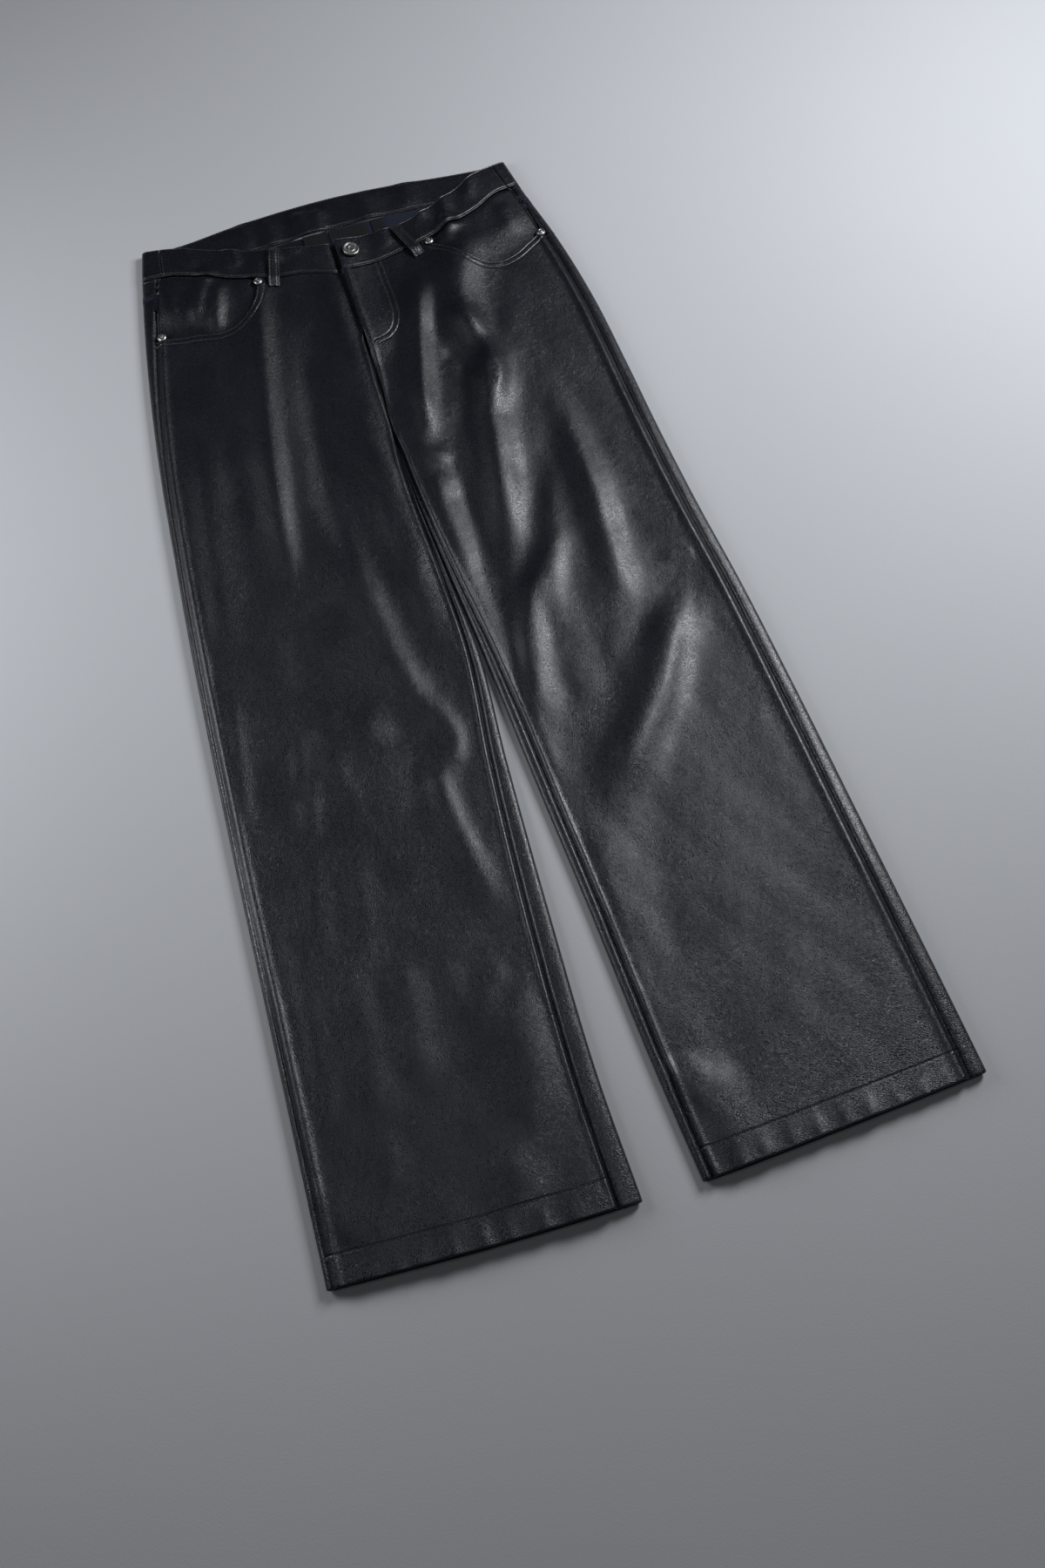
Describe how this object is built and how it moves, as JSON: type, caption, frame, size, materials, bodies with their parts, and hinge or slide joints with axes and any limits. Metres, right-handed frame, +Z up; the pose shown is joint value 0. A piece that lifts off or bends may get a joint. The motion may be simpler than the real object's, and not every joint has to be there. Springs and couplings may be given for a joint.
{
  "type": "leather trousers",
  "caption": "Wide straight-leg leather trousers laid flat with the front up, with scooped front pockets, a button and zip fly, belt loops and an open waist.",
  "frame": {"origin": "centre of the garment's box in plan, on the surface it lies on", "axes": "+X to the wearer's left, +Y from the hems to the waist, +Z up out of the front face"},
  "size_m": [0.5594, 1.0764, 0.0202],
  "materials": {
    "back_left": "soft sheen, fine pebble grain",
    "back_right": "soft sheen, fine pebble grain",
    "front_left": "soft sheen, fine pebble grain",
    "front_right": "soft sheen, fine pebble grain",
    "yoke_left": "soft sheen, fine pebble grain",
    "yoke_right": "soft sheen, fine pebble grain",
    "pocket_facing_left": "soft sheen, fine pebble grain",
    "pocket_facing_right": "soft sheen, fine pebble grain",
    "waistband_back": "soft sheen, fine pebble grain",
    "waistband_front_left": "soft sheen, fine pebble grain",
    "waistband_front_right": "soft sheen, fine pebble grain",
    "belt_loop_left": "soft sheen, fine pebble grain",
    "belt_loop_right": "soft sheen, fine pebble grain",
    "button": "antique silver",
    "rivet_1": "antique silver",
    "rivet_2": "antique silver",
    "rivet_3": "antique silver",
    "rivet_4": "antique silver",
    "fly_zip": "matt weave",
    "label": "matt weave",
    "size_tag": "matt weave"
  },
  "bodies": {
    "root": {"back_left": "back_left", "back_right": "back_right", "front_left": "front_left", "front_right": "front_right", "yoke_left": "yoke_left", "yoke_right": "yoke_right", "pocket_facing_left": "pocket_facing_left", "pocket_facing_right": "pocket_facing_right", "waistband_back": "waistband_back", "waistband_front_left": "waistband_front_left", "waistband_front_right": "waistband_front_right", "belt_loop_left": "belt_loop_left", "belt_loop_right": "belt_loop_right", "button": "button", "rivet_1": "rivet_1", "rivet_2": "rivet_2", "rivet_3": "rivet_3", "rivet_4": "rivet_4", "fly_zip": "fly_zip", "label": "label", "size_tag": "size_tag"}
  },
  "joints": []
}
